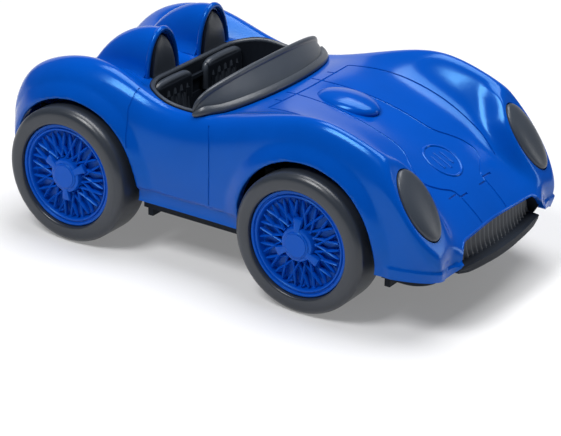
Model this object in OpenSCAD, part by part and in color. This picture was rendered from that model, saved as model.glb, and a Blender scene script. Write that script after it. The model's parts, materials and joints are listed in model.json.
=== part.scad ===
// Toy roadster: a moulded push-along racing car with two wheel sets.
// The car faces +X, +Y is its left side, and the tyres stand on Z = 0.
// The origin is under the middle of the car.

/* [Wheels] */
// Position of the front axle along the car
front_axle_x = 56; // [55:0.5:57]
// Position of the rear axle along the car
rear_axle_x = -84; // [-85:0.5:-83]
// Outer radius of the tyres
tyre_r = 36; // [35:0.5:36.5]
// Width of each tyre
tyre_w = 24; // [20:0.5:26]
// Distance from the middle of the car to the outer face of a tyre
tyre_face_y = 72; // [71:0.5:74]
// Radius of the wire wheel inside the tyre
wheel_r = 27.4; // [26:0.2:28]
// Number of crossed spoke pairs on each wheel
spoke_pairs = 18; // [12:1:20]
// Radius of the axle rods
axle_r = 4; // [3:0.25:5]
// Radial running clearance of an axle in the chassis
axle_clearance = 0.08; // [0.04:0.01:0.1]

/* [Body] */
// Radius of the front wheel arches
front_arch_r = 40.1; // [39:0.1:41]
// Radius of the rear wheel arches
rear_arch_r = 39.2; // [39:0.1:40]
// Wall thickness of the moulded shell
wall = 2.4; // [2:0.1:3]
// Half width of the radiator mouth
mouth_half_w = 40.4; // [39:0.2:41]
// Length of the oval headlights
lamp_length = 37.2; // [34:0.2:38]
// Width of the oval headlights
lamp_width = 19.6; // [18:0.2:20]

/* [Cockpit] */
// Half width of the cockpit opening
cockpit_half_w = 52; // [50:0.5:53]
// Height of the cockpit floor above the ground
floor_z = 37; // [34:0.5:42]
// Distance from the middle of the car to the middle of each seat
seat_y = 22; // [20:0.5:24]
// Height of the headrest humps above the ground
hump_top_z = 106; // [102:0.5:108]

/* [Chassis] */
// Height of the flat underside above the ground
underside_z = 24; // [22:0.5:25]
// Thickness of the chassis floor
pan_thickness = 3; // [2:0.5:4]

/* [Hidden] */
$fn = 48;

body_blue = [0.02, 0.24, 0.78];
trim_grey = [0.33, 0.35, 0.38];
dark_grey = [0.14, 0.15, 0.17];
tyre_grey = [0.31, 0.33, 0.35];

eps = 0.05;
left = 1;
right = -1;

// ---- Lines plan of the shell -------------------------------------------------------------
// Five lines run from the tail hem to the nose hem through the same seventeen stations.
// Each point is [x, y, z] on the left half of the skin.
spine_line = [[-131, 0, 31], [-131.4, 0, 45], [-130, 0, 57.5], [-119.5, 0, 69], [-104, 0, 78], [-84, 0, 82.5],
    [-65, 0, 83], [-41, 0, 80], [-17, 0, 80], [7, 0, 84.5], [33, 0, 82.8], [58, 0, 78], [81, 0, 70],
    [102, 0, 60], [116, 0, 50], [126, 0, 39.5], [132.5, 0, 30]];
valley_line = [[-130.5, 24, 31], [-131.4, 25, 46], [-129.5, 26, 60], [-118, 28, 73], [-101, 30, 81],
    [-82, 32, 84], [-63, 34, 84], [-41, 38, 79], [-17, 40, 78], [7, 37, 84], [33, 36, 86.2],
    [58, 36, 82.2], [81, 36, 73.4], [102, 36, 60], [118, 36, 49], [128, 36, 40], [131, 34, 30]];
crest_line = [[-129.5, 42, 31], [-131.5, 44, 48], [-127.5, 48, 70], [-115, 50, 84], [-97, 50.5, 91.5],
    [-79, 50, 93.5], [-61, 51, 89.5], [-41, 53.5, 82], [-17, 54.5, 79], [9, 54.5, 84.5], [34, 55.5, 92],
    [58, 56, 96.3], [81, 56, 91.2], [100, 55, 82.5], [111.3, 52.5, 64], [123.8, 49.5, 46], [126.5, 45, 30]];
belt_line = [[-127.5, 53, 31], [-128.5, 55, 46], [-124, 59, 58], [-112, 62.5, 66], [-96, 64, 68],
    [-79, 64, 66], [-61, 63.5, 60], [-41, 62.5, 55], [-17, 62.5, 52], [9, 63, 58], [34, 64, 64],
    [58, 65, 66], [81, 65, 60], [103.5, 65.2, 56], [117.5, 62.4, 46.5], [126, 56.5, 37.5], [125, 53, 29.5]];
hem_line = [[-122, 60, 31], [-119, 61, 31], [-114, 62, 31], [-107, 62.5, 31], [-96, 62.5, 31],
    [-79, 62.5, 30], [-61, 62, 29.5], [-41, 61.3, 29], [-17, 61, 29], [9, 61.2, 29], [34, 62, 29],
    [58, 64, 29], [79, 65, 29], [96, 64.5, 29], [108, 62.5, 29], [116, 59.2, 29], [121.5, 56, 29]];
last_station = len(spine_line) - 1;

function mix(a, b, t) = a * (1 - t) + b * t;
function mix_lines(a, b, t) = [for (i = [0:last_station]) mix(a[i], b[i], t)];

// The shoulder runs between crest and belt: most of the way out, but still high.
function shoulder_line(crest, belt) = [for (i = [0:last_station])
    [mix(crest[i].x, belt[i].x, 0.5), mix(crest[i].y, belt[i].y, 0.75), mix(crest[i].z, belt[i].z, 0.33)]];

// Nine lines across half of the skin, from the spine to the hem.
function half_lines(spine, valley, crest, belt, hem) = [
    spine,
    mix_lines(spine, valley, 0.5),
    valley,
    mix_lines(valley, crest, 0.55),
    crest,
    shoulder_line(crest, belt),
    belt,
    mix_lines(belt, hem, 0.5),
    hem];

// The same net moved inwards by t. Its ends and hem drop below the skin's own hem.
function end_shift(i) = i < 2 ? -1 : i < 4 ? -0.5 : i > 14 ? 1 : i > 12 ? 0.7 : 0;
function drop(i, t) = (i == 0 || i == last_station) ? 6 : t;
function inset(line, t, dy, drop_z = false) = [for (i = [0:last_station])
    line[i] - [end_shift(i) * t, dy, drop_z ? 6 : drop(i, t)]];
function inset_lines(t) = half_lines(
    inset(spine_line, t, 0), inset(valley_line, t, 0), inset(crest_line, t, t / 2),
    inset(belt_line, t, t), inset(hem_line, t, t, true));
function skin_lines() = half_lines(spine_line, valley_line, crest_line, belt_line, hem_line);

// ---- Smooth surface through the lines ----------------------------------------------------
function extended(p) = let (n = len(p) - 1) concat([2 * p[0] - p[1]], p, [2 * p[n] - p[n - 1]]);
// Control points of a cubic B-spline that passes through the given points.
function controls(p) = let (e = extended(p))
    [for (i = [0:len(p) - 1]) p[i] - (e[i] - 2 * p[i] + e[i + 2]) / 6];
function weights(t) = [(1 - t) ^ 3, 3 * t ^ 3 - 6 * t ^ 2 + 4, -3 * t ^ 3 + 3 * t ^ 2 + 3 * t + 1, t ^ 3] / 6;
// Point at parameter t on the B-spline whose extended control points are e.
function spline_at(e, t) = let (i = min(floor(t), len(e) - 4), w = weights(t - i))
    w[0] * e[i] + w[1] * e[i + 1] + w[2] * e[i + 2] + w[3] * e[i + 3];

function mirrored(p) = [for (q = p) [q.x, -q.y, q.z]];
// Grid of skin points: rows go from the left hem over the spine to the right hem.
function skin_grid(lines, along, across) =
    let (net = controls([for (p = concat([mirrored(lines[2]), mirrored(lines[1])], lines)) controls(p)]),
        net_e = extended(net),
        half = [for (j = [0:8 * across]) let (row = extended(spline_at(net_e, j / across + 2)))
            [for (i = [0:last_station * along]) spline_at(row, i / along)]])
    concat([for (j = [8 * across:-1:1]) half[j]], [for (j = [0:8 * across]) mirrored(half[j])]);

// Presses skin near a headlight onto the flat face that the headlight sits in.
function ease(t) = let (k = min(max(t, 0), 1)) k * k * (3 - 2 * k);
function lamp_faced(p) =
    let (side = p.y < 0 ? -1 : 1, offset = [p.x, side * p.y, p.z] - lamp_at, rise = offset * lamp_axis,
        r = norm([offset * lamp_long * 2 / lamp_length, offset * lamp_across * 2 / lamp_width]),
        pull = (1 - ease((r - 1.1) / 0.7)) * (1 - ease((abs(rise) - 6) / 5)))
    p - pull * rise * [lamp_axis.x, side * lamp_axis.y, lamp_axis.z];

// Closed solid under a skin grid: the skin and a fan across its hem.
module skin_solid(grid, foot_z) {
    rows = len(grid);
    cols = len(grid[0]);
    points = concat([for (row = grid) each row], [[0, 0, foot_z]]);
    function id(j, i) = j * cols + i;
    centre = rows * cols;
    skin = [for (j = [0:rows - 2]) for (i = [0:cols - 2])
        each [[id(j, i), id(j + 1, i + 1), id(j + 1, i)], [id(j, i), id(j, i + 1), id(j + 1, i + 1)]]];
    hem = concat([for (i = [0:cols - 1]) id(0, i)], [for (j = [1:rows - 1]) id(j, cols - 1)],
        [for (i = [cols - 2:-1:0]) id(rows - 1, i)], [for (j = [rows - 2:-1:1]) id(j, 0)]);
    foot = [for (k = [0:len(hem) - 1]) [centre, hem[(k + 1) % len(hem)], hem[k]]];
    polyhedron(points, concat(skin, foot));
}
module outer_skin()
    skin_solid([for (row = skin_grid(skin_lines(), 4, 3)) [for (p = row) lamp_faced(p)]], 29);
module inner_skin() skin_solid(skin_grid(inset_lines(wall), 2, 2), 22);

// Closed solid through a list of rings with the same number of points.
module loft(rings) {
    n = len(rings[0]);
    last = len(rings) - 1;
    function middle(ring) = [for (k = [0:2]) [for (q = ring) q[k]] * [for (q = ring) 1 / n]];
    points = concat([for (r = rings) each r], [middle(rings[0]), middle(rings[last])]);
    walls = [for (s = [0:last - 1]) for (k = [0:n - 1]) let (a = s * n + k, b = s * n + (k + 1) % n)
        each [[a, a + n, b + n], [a, b + n, b]]];
    first_cap = [for (k = [0:n - 1]) [(last + 1) * n, k, (k + 1) % n]];
    last_cap = [for (k = [0:n - 1]) [(last + 1) * n + 1, last * n + (k + 1) % n, last * n + k]];
    polyhedron(points, concat(walls, first_cap, last_cap));
}

// The faceted skin and everything cut from it stay one mesh.
module one_mesh() resize([0, 0, 0]) children();
module both_sides() {
    children();
    mirror([0, 1, 0]) children();
}

// ---- Headrest humps ----------------------------------------------------------------------
hump_front_x = -59.5;
hump_length = 41;
hump_half_w = 13.2;
hump_foot_z = 76;
hump_steps = 9;
arch_points = 17;
lip = 1.1;

// Arch-shaped ring across the hump at a station from 0 (front) to 1 (tail), shrunk by t.
function hump_scale(s) = (1 - s ^ 2) ^ 0.68;
function hump_ring(s, t, front_x) =
    let (k = hump_scale(s), w = max(hump_half_w * (0.3 + 0.7 * k ^ 0.6) - t, 0.4),
        h = max((hump_top_z - hump_foot_z) * k - t, 0.4))
    concat([for (a = [0:arch_points - 1]) let (q = 180 - 180 * a / (arch_points - 1))
        [front_x - s * (hump_length - t), seat_y + w * cos(q), hump_foot_z + h * sin(q) ^ 0.85]],
        [[front_x - s * (hump_length - t), seat_y, hump_foot_z - 2]]);
module hump(t = 0, front_x = hump_front_x, reach = 1)
    loft([for (i = [0:hump_steps]) hump_ring(reach * sin(90 * i / hump_steps), t, front_x)]);

// Rolled lip round the front arch of a hump.
module hump_lip() intersection() {
    hump(-lip);
    translate([hump_front_x - 3, seat_y - 30, hump_foot_z]) cube([4, 60, 60]);
}

// Low oval dome in the middle of the hood.
dome_at = [38.5, 0, 81.6];
dome_half = [17.5, 11.5, 5.6];
module dome() translate(dome_at) rotate([0, 4, 0]) scale(dome_half) sphere(1, $fn = 40);

// ---- Cockpit opening ---------------------------------------------------------------------
cowl_arc_r = 91;
cockpit_front_x = 1;
cockpit_rear_x = -57.5;
cockpit_corner_r = 26;

// Outline of the opening, grown by t: straight sides, round rear corners, curved front.
module cockpit_outline(t = 0) offset(delta = t) intersection() {
    translate([cockpit_front_x - cowl_arc_r, 0]) circle(cowl_arc_r, $fn = 96);
    hull() for (s = [left, right], x = [cockpit_rear_x + cockpit_corner_r, 20])
        translate([x, s * (cockpit_half_w - cockpit_corner_r)]) circle(cockpit_corner_r, $fn = 40);
}

// ---- Headlights --------------------------------------------------------------------------
lamp_at = [111, 52, 64.1];
lamp_lean = 54;
lamp_yaw = 5;
lamp_axis = [sin(lamp_lean) * cos(lamp_yaw), sin(lamp_lean) * sin(lamp_yaw), cos(lamp_lean)];
lamp_across = [-sin(lamp_yaw), cos(lamp_yaw), 0];
lamp_long = cross(lamp_across, lamp_axis);
module lamp_prism(side, grow, height) translate([lamp_at.x, side * lamp_at.y, lamp_at.z])
    rotate([0, lamp_lean, side * lamp_yaw]) translate([0, 0, -height / 2]) linear_extrude(height)
        scale([lamp_length / 2 + grow, lamp_width / 2 + grow]) circle(1, $fn = 40);

// ---- Radiator mouth ----------------------------------------------------------------------
mouth_top_z = 42.3;
mouth_corner_r = 9.5;
// Front view of the mouth: flat on top with round upper corners, open downwards.
module mouth_outline(t = 0) offset(delta = t) hull() for (s = [left, right]) {
    translate([s * (mouth_half_w - mouth_corner_r), mouth_top_z - mouth_corner_r]) circle(mouth_corner_r, $fn = 32);
    translate([s * mouth_half_w, 20]) square(0.1);
}
module mouth_cutter(from_x, t = 0) translate([from_x, 0, 0]) rotate([90, 0, 90])
    linear_extrude(60) intersection() {
        mouth_outline(t);
        translate([-mouth_half_w - 2, 10]) square([2 * mouth_half_w + 4, 60]);
    }

// Rounds the lower corners of the panels on both sides of the mouth.
module mouth_foot_cutter() translate([100, 0, 0]) rotate([90, 0, 90]) linear_extrude(60)
    for (s = [left, right]) polygon([[0, 10], [0, 36], [s * mouth_half_w, 36], [s * 40.9, 34.6], [s * 42.2, 33.3],
        [s * 44.5, 32.4], [s * 48, 31.6], [s * 52, 31], [s * 52, 10]]);

// ---- Shell ---------------------------------------------------------------------------------
module arch_cutter(x, r) translate([x, 0, tyre_r]) rotate([-90, 0, 0])
    translate([0, 0, 42]) cylinder(r = r, h = 60, $fn = 96);

module body_shell() color(body_blue) one_mesh() difference() {
    union() {
        outer_skin();
        dome();
        both_sides() {
            hump();
            hump_lip();
        }
    }
    inner_skin();
    both_sides() {
        hump(wall, hump_front_x + 3);
        arch_cutter(front_axle_x, front_arch_r);
        arch_cutter(rear_axle_x, rear_arch_r);
    }
    translate([0, 0, 60]) linear_extrude(60) cockpit_outline();
    for (s = [left, right]) lamp_prism(s, 0.3, 30);
    mouth_cutter(100);
    mouth_foot_cutter();
}

// ---- Chassis -------------------------------------------------------------------------------
tunnel_half_w = 44;
well_wall = 2;
side_pan_half_w = 48;
well_r = 38.6;
lip_front_x = 131;
lip_r = 190;
lip_belly_r = 175;
ledge_z = 29.5;
ledge_half_w = 58.2;
ledge_end_x = 14;
ledge_start_x = -45;
tab_z = 19;

// Plan of the floor pan, narrow between the wheels and wide under the doors.
module pan_outline() {
    difference() {
        hull() {
            for (s = [left, right]) {
                translate([-111, s * 44]) circle(12);
                translate([107, s * 44]) circle(12);
            }
            translate([0, -side_pan_half_w]) square([1, 2 * side_pan_half_w]);
        }
        for (s = [left, right], x = [front_axle_x, rear_axle_x])
            translate([x - well_r, s > 0 ? tunnel_half_w : -tunnel_half_w - 40]) square([2 * well_r, 40]);
    }
}

// Smooth lower lip under the radiator, curved in plan and rising towards its ends.
module splitter() intersection() {
    translate([lip_front_x - lip_r, 0, underside_z]) union() {
        cylinder(r1 = lip_r - 3, r2 = lip_r, h = 3, $fn = 192);
        translate([0, 0, 3]) cylinder(r = lip_r, h = 3.4, $fn = 192);
    }
    translate([96, 0, underside_z + lip_belly_r]) rotate([0, 90, 0]) cylinder(r = lip_belly_r, h = 60, $fn = 192);
    translate([96, -mouth_half_w + 1, underside_z]) cube([60, 2 * mouth_half_w - 2, 20]);
}

// Ledge under each door that the shell rests on, above the level of the floor pan.
module side_ledges() for (s = [left, right]) {
    translate([ledge_start_x, s > 0 ? side_pan_half_w - 5 : -ledge_half_w, ledge_z])
        cube([ledge_end_x - ledge_start_x, ledge_half_w - side_pan_half_w + 5, 2]);
    translate([ledge_start_x, s > 0 ? side_pan_half_w - 5 : -side_pan_half_w + 3, underside_z])
        cube([ledge_end_x - ledge_start_x, 2, ledge_z - underside_z + 1]);
}

// Short tabs that close the wheel wells towards the doors and the nose.
module well_tabs() for (s = [left, right], x = [rear_axle_x + well_r + 1, front_axle_x + well_r + 0.6])
    translate([x, s > 0 ? 38 : -54, tab_z]) cube([3, 16, ledge_z + 1 - tab_z]);

// Housing that carries an axle across the car.
housing_half = 8;
module axle_housing(x) translate([x - housing_half, -tunnel_half_w, underside_z])
    cube([2 * housing_half, 2 * tunnel_half_w, tyre_r + housing_half - underside_z]);
module axle_bore(x) translate([x, 60, tyre_r]) rotate([90, 0, 0])
    cylinder(r = axle_r + axle_clearance, h = 120);

// Wall on the inner side of a wheel well.
module well_side(x) for (s = [left, right])
    translate([x - well_r + 2, s > 0 ? tunnel_half_w - well_wall : -tunnel_half_w, underside_z + eps])
        cube([2 * well_r - 4, well_wall, 34]);

module chassis() color(dark_grey) difference() {
    union() {
        translate([0, 0, underside_z]) linear_extrude(pan_thickness) pan_outline();
        splitter();
        side_ledges();
        well_tabs();
        for (x = [front_axle_x, rear_axle_x]) {
            axle_housing(x);
            well_side(x);
        }
    }
    for (x = [front_axle_x, rear_axle_x]) axle_bore(x);
}

// ---- Cockpit tub ---------------------------------------------------------------------------
tub_wall = 2.5;
tub_gap = 0.15;
rim_stand = 0.8;
step_z = 66;
well_half_w = 41;
seat_w = 29;
seat_depth = 26;
seat_back_x = -53;
seat_top_z = 80;
shelf_z = 76;
rib_pitch = 5.4;

// Outline of the deep middle of the tub, which stays between the rear wheels.
module well_outline(t = 0) intersection() {
    cockpit_outline(t - 1);
    square([300, 2 * (well_half_w + t)], center = true);
}

// One seat: a cushion and a ribbed back with a rounded ridge.
module seat(side) translate([0, side * seat_y, 0]) {
    translate([seat_back_x - 4, -seat_w / 2, floor_z - 1]) cube([6, seat_w, seat_top_z - 1 - floor_z]);
    translate([seat_back_x, seat_w / 2, seat_top_z - 2]) rotate([90, 0, 0]) cylinder(r = 2, h = seat_w, $fn = 24);
    for (k = [-2:2]) translate([seat_back_x + 2 - eps, k * rib_pitch - 1, floor_z + 12]) cube([0.8, 2, 24]);
    translate([seat_back_x, -seat_w / 2, floor_z - 1]) cube([seat_depth, seat_w, 11]);
}

module cockpit_tub() color(dark_grey) one_mesh() {
    difference() {
        intersection() {
            union() {
                translate([0, 0, step_z - tub_wall]) linear_extrude(60) cockpit_outline(-tub_gap);
                translate([0, 0, floor_z - tub_wall]) linear_extrude(60) well_outline(-tub_gap);
            }
            translate([0, 0, rim_stand]) outer_skin();
        }
        translate([0, 0, step_z]) linear_extrude(60) cockpit_outline(-tub_gap - tub_wall);
        translate([0, 0, floor_z]) linear_extrude(60) well_outline(-tub_gap - tub_wall);
    }
    intersection() {
        for (s = [left, right]) seat(s);
        linear_extrude(seat_top_z + 1) cockpit_outline(-tub_gap);
    }
    translate([cockpit_rear_x + 2, -well_half_w + 2, shelf_z - 2])
        cube([seat_back_x - cockpit_rear_x - 2, 2 * well_half_w - 4, 2]);
}

// ---- Headrest fairings ---------------------------------------------------------------------
fairing_half_w = 9.6;
fairing_depth = 2.6;
fairing_top_z = 102.6;
fairing_steps = 8;
rim_clear_z = 84.4;

// Pointed shield that stands a little forward of the hump, with square edges and a slightly crowned face.
module headrest(side) color(trim_grey) difference() {
    translate([hump_front_x - 0.6, side * seat_y, 0]) loft([for (i = [0:fairing_steps])
        let (s = i / fairing_steps, w = fairing_half_w * (1 - s ^ 2.1) ^ 0.64 + 0.3,
            z = mix(shelf_z, fairing_top_z, s), d = fairing_depth * (1 - s ^ 4) + 0.3)
        [[0, -w, z], [d, -w * 0.97, z], [d + 0.5, 0, z], [d, w * 0.97, z], [0, w, z],
            [-1.5, w * 0.8, z], [-1.5, -w * 0.8, z]]]);
    translate([cockpit_rear_x - 0.1, -60, 60]) cube([20, 120, rim_clear_z - 60]);
}

// ---- Windscreen ----------------------------------------------------------------------------
screen_end_x = -16.5;
screen_depth = 23;
screen_half_w = 55;
screen_top_z = 97;
screen_end_z = 79.5;
screen_steps = 32;
screen_thickness = 2.6;

function screen_base(q) = [screen_end_x + screen_depth * cos(q), screen_half_w * sin(q), 78 + 4 * cos(q)];
function screen_top(q) = [screen_end_x - 1 + 9.5 * cos(q), (screen_half_w - 1) * sin(q),
    screen_end_z + (screen_top_z - screen_end_z) * cos(q) ^ 0.5];
function inward(q) = [-cos(q), -0.9 * sin(q), -0.25] * screen_thickness;

module windscreen() color(trim_grey) one_mesh() difference() {
    loft([for (i = [0:screen_steps]) let (q = -87 + 174 * i / screen_steps, b = screen_base(q), t = screen_top(q),
            n = inward(q))
        [b + n, t + n, t + [0, 0, 0.8] + n * 0.4, t, b]]);
    outer_skin();
    intersection() {
        translate([0, 0, 60]) linear_extrude(60) cockpit_outline(tub_gap);
        translate([0, 0, rim_stand + 0.1]) outer_skin();
    }
}

// ---- Grille and headlights -------------------------------------------------------------------
grille_ribs = 21;
grille_pitch = 3.7;
grille_r = 190;
grille_height = 10.2;
grille_foot_z = 31.7;
grille_front_x = 123.6;
grille_lean = 4;

module grille() color(trim_grey) intersection() {
    translate([grille_front_x, 0, grille_foot_z]) rotate([0, -grille_lean, 0]) {
        for (k = [-(grille_ribs - 1) / 2:(grille_ribs - 1) / 2])
            let (y = k * grille_pitch, x = sqrt(grille_r ^ 2 - y ^ 2) - grille_r)
                translate([x - 1.2, y - 0.9, 0]) cube([2.4, 1.8, grille_height]);
        translate([-grille_r, 0, 0]) difference() {
            cylinder(r = grille_r, h = grille_height, $fn = 192);
            translate([0, 0, -1]) cylinder(r = grille_r - 2, h = grille_height + 2, $fn = 192);
            translate([-grille_r - 10, -grille_r - 10, -1]) cube([2 * grille_r - 5, 2 * grille_r + 20, 20]);
        }
    }
    mouth_cutter(100, -0.4);
}

module headlight(side) color(trim_grey) one_mesh() intersection() {
    lamp_prism(side, 0, 30);
    difference() {
        translate([0.8, 0, 0.5]) outer_skin();
        inner_skin();
    }
}

// ---- Wheels ----------------------------------------------------------------------------------
rim_recess = 2;
wheel_depth = 14;
spoke_floor = 6;
hub_r = 9;
cap_r = 6.2;
cap_height = 7;
shoulder_r = 4;
axle_half = tyre_face_y - 5;

// Places a child drawn along +Z from the middle of the car on one wheel.
module at_wheel(x, side) translate([x, 0, tyre_r]) rotate([side > 0 ? -90 : 90, 0, 0]) children();

module tyre(x, side) color(tyre_grey) at_wheel(x, side) translate([0, 0, tyre_face_y - tyre_w])
    rotate_extrude($fn = 96) union() {
        translate([wheel_r, shoulder_r]) square([tyre_r - wheel_r, tyre_w - 2 * shoulder_r]);
        translate([wheel_r, 0]) square([tyre_r - wheel_r - shoulder_r, tyre_w]);
        for (h = [shoulder_r, tyre_w - shoulder_r]) translate([tyre_r - shoulder_r, h]) circle(shoulder_r);
    }

module spokes() for (k = [0:spoke_pairs - 1], lean = [-1, 1]) rotate(k * 360 / spoke_pairs)
    translate([hub_r - 1, 0, 0]) rotate(lean * 12)
        translate([0, -0.6, 0]) cube([wheel_r - hub_r - 1.2, 1.2, spoke_floor - 2]);

module wheel(x, side) color(body_blue) at_wheel(x, side)
    translate([0, 0, tyre_face_y - rim_recess - wheel_depth]) difference() {
        union() {
            cylinder(r = wheel_r, h = wheel_depth - spoke_floor, $fn = 96);
            difference() {
                cylinder(r = wheel_r, h = wheel_depth, $fn = 96);
                translate([0, 0, 1]) cylinder(r = wheel_r - 3, h = wheel_depth, $fn = 96);
            }
            cylinder(r = hub_r, h = wheel_depth - 1);
            translate([0, 0, wheel_depth - spoke_floor - eps]) spokes();
        }
        translate([0, 0, -1]) cylinder(r = axle_r, h = wheel_depth + 2);
    }

// Round cap with the three ears of a knock-off nut. The front nut has an ear on top, the rear one below.
module hub_cap(x, side) color(body_blue) at_wheel(x, side)
    translate([0, 0, tyre_face_y - rim_recess - 1]) {
        cylinder(r = cap_r, h = 3);
        for (k = [0:2]) rotate((x > 0 ? -90 : 90) * side + 120 * k) translate([0, -1.6, 0]) cube([hub_r + 1.5, 3.2, 1.8]);
    }

module axle(x) color(dark_grey) translate([x, axle_half, tyre_r]) rotate([90, 0, 0])
    cylinder(r = axle_r, h = 2 * axle_half);

body_shell();
chassis();
cockpit_tub();
headrest(left);  // headrest_left
headrest(right);  // headrest_right
windscreen();
grille();
headlight(left);  // headlight_left
headlight(right);  // headlight_right
axle(front_axle_x);  // axle_front
axle(rear_axle_x);  // axle_rear
tyre(front_axle_x, left);  // tyre_front_left
tyre(front_axle_x, right);  // tyre_front_right
tyre(rear_axle_x, left);  // tyre_rear_left
tyre(rear_axle_x, right);  // tyre_rear_right
wheel(front_axle_x, left);  // wheel_front_left
wheel(front_axle_x, right);  // wheel_front_right
wheel(rear_axle_x, left);  // wheel_rear_left
wheel(rear_axle_x, right);  // wheel_rear_right
hub_cap(front_axle_x, left);  // hub_cap_front_left
hub_cap(front_axle_x, right);  // hub_cap_front_right
hub_cap(rear_axle_x, left);  // hub_cap_rear_left
hub_cap(rear_axle_x, right);  // hub_cap_rear_right
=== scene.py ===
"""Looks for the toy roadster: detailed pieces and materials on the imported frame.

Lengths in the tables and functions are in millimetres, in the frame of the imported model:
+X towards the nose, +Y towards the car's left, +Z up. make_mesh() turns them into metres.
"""
import json
import math

import bmesh
import bpy
import numpy as np
from mathutils import Matrix, Vector
from mathutils.bvhtree import BVHTree


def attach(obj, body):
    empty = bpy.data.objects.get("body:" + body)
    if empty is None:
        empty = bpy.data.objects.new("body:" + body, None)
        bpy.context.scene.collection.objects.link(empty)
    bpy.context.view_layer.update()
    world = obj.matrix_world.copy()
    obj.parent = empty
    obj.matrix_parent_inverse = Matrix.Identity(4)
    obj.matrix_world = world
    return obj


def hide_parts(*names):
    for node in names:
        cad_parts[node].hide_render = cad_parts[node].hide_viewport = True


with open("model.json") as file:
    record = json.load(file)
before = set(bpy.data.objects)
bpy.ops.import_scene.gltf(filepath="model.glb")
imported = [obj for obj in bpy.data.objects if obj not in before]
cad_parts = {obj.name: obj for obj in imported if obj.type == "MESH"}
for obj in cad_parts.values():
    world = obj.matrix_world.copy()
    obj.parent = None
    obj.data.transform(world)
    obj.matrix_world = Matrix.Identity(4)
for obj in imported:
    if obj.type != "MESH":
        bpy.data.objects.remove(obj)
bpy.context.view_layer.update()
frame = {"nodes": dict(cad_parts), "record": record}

MM = 0.001
CAR, FRONT_SET, REAR_SET = "car", "front_wheels", "rear_wheels"
SIDES = {"left": 1, "right": -1}
AXLE_X = {"front": 56.0, "rear": -84.0}
ARCH_R = {"front": 40.1, "rear": 39.2}
TYRE_R = 36.0
TYRE_FACE_Y = 72.0
WALL = 2.4
# Distance under which only points that are meant to be one are merged.
FINE = 0.0001


# ---- Mesh helpers --------------------------------------------------------------------------
def make_mesh(name, points, faces):
    """A smooth-shaded mesh object from points in millimetres."""
    places = [tuple(p) for p in np.asarray(points, float) * MM]
    corners = [[int(i) for i in face] for face in faces]
    mesh = bpy.data.meshes.new(name)
    mesh.from_pydata(places, [], corners)
    mesh.validate()
    obj = bpy.data.objects.new(name, mesh)
    bpy.context.scene.collection.objects.link(obj)
    return obj


def smooth(obj, angle=35):
    """Smooth shading that keeps edges sharper than the angle."""
    for polygon in obj.data.polygons:
        polygon.use_smooth = True
    obj.data.set_sharp_from_angle(angle=math.radians(angle))
    return obj


def applied(obj):
    """Replaces the object's mesh by the result of its modifiers."""
    graph = bpy.context.evaluated_depsgraph_get()
    result = bpy.data.meshes.new_from_object(obj.evaluated_get(graph))
    obj.modifiers.clear()
    obj.data = result
    return obj


def combine(obj, other, operation):
    """Boolean of obj with other, which is used up."""
    modifier = obj.modifiers.new("combine", "BOOLEAN")
    modifier.object = other
    modifier.operation = operation
    modifier.solver = "MANIFOLD"
    applied(obj)
    bpy.data.objects.remove(other)
    return obj


def joined(name, objects):
    """One object out of several."""
    points, faces, start = [], [], 0
    for obj in objects:
        points += [v.co / MM for v in obj.data.vertices]
        faces += [[start + i for i in p.vertices] for p in obj.data.polygons]
        start += len(obj.data.vertices)
        bpy.data.objects.remove(obj)
    return make_mesh(name, points, faces)


def lofted(name, rings):
    """Solid through rings with the same number of points, with a fan over each end."""
    rings = np.asarray(rings, float)
    count, n = rings.shape[:2]
    points = np.concatenate([rings.reshape(-1, 3), [rings[0].mean(0)], [rings[-1].mean(0)]])
    faces = []
    for s in range(count - 1):
        for k in range(n):
            a, b = s * n + k, s * n + (k + 1) % n
            faces.append([a, b, b + n, a + n])
    first, last = count * n, count * n + 1
    for k in range(n):
        faces.append([first, (k + 1) % n, k])
        faces.append([last, (count - 1) * n + k, (count - 1) * n + (k + 1) % n])
    return make_mesh(name, points, faces)


def tube(name, path, radius, sides=10, flat=1.0, up=(0, 0, 1), closed=False):
    """Round bar along a path. flat scales it along its own up direction, and closed joins its ends."""
    path = np.asarray(path, float)
    if closed:
        tangent = np.roll(path, -1, 0) - np.roll(path, 1, 0)
    else:
        tangent = np.gradient(path, axis=0)
    tangent /= np.linalg.norm(tangent, axis=1)[:, None]
    up = np.broadcast_to(np.asarray(up, float), path.shape)
    across = np.cross(tangent, up)
    across /= np.linalg.norm(across, axis=1)[:, None]
    rise = np.cross(across, tangent)
    radius = np.broadcast_to(np.asarray(radius, float), (len(path),))
    angles = np.arange(sides) * 2 * math.pi / sides
    rings = []
    for k in range(len(path)):
        rings.append([path[k] + radius[k] * (math.cos(a) * across[k] + flat * math.sin(a) * rise[k])
                      for a in angles])
    if not closed:
        return lofted(name, rings)
    rings = np.asarray(rings)
    count = len(rings)
    faces = []
    for s in range(count):
        for k in range(sides):
            a, b = s * sides + k, s * sides + (k + 1) % sides
            c, d = ((s + 1) % count) * sides + (k + 1) % sides, ((s + 1) % count) * sides + k
            faces.append([a, b, c, d])
    return make_mesh(name, rings.reshape(-1, 3), faces)


def revolved(name, profile, steps=128):
    """Solid of revolution about Y from a closed outline of (radius, y) pairs."""
    profile = np.asarray(profile, float)
    n = len(profile)
    points, faces = [], []
    for s in range(steps):
        a = 2 * math.pi * s / steps
        points += [(r * math.cos(a), y, r * math.sin(a)) for r, y in profile]
    for s in range(steps):
        t = (s + 1) % steps
        for k in range(n):
            m = (k + 1) % n
            if profile[k][0] == 0 and profile[m][0] == 0:
                continue
            faces.append([s * n + k, s * n + m, t * n + m, t * n + k])
    obj = make_mesh(name, points, faces)
    return weld(obj)


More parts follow.
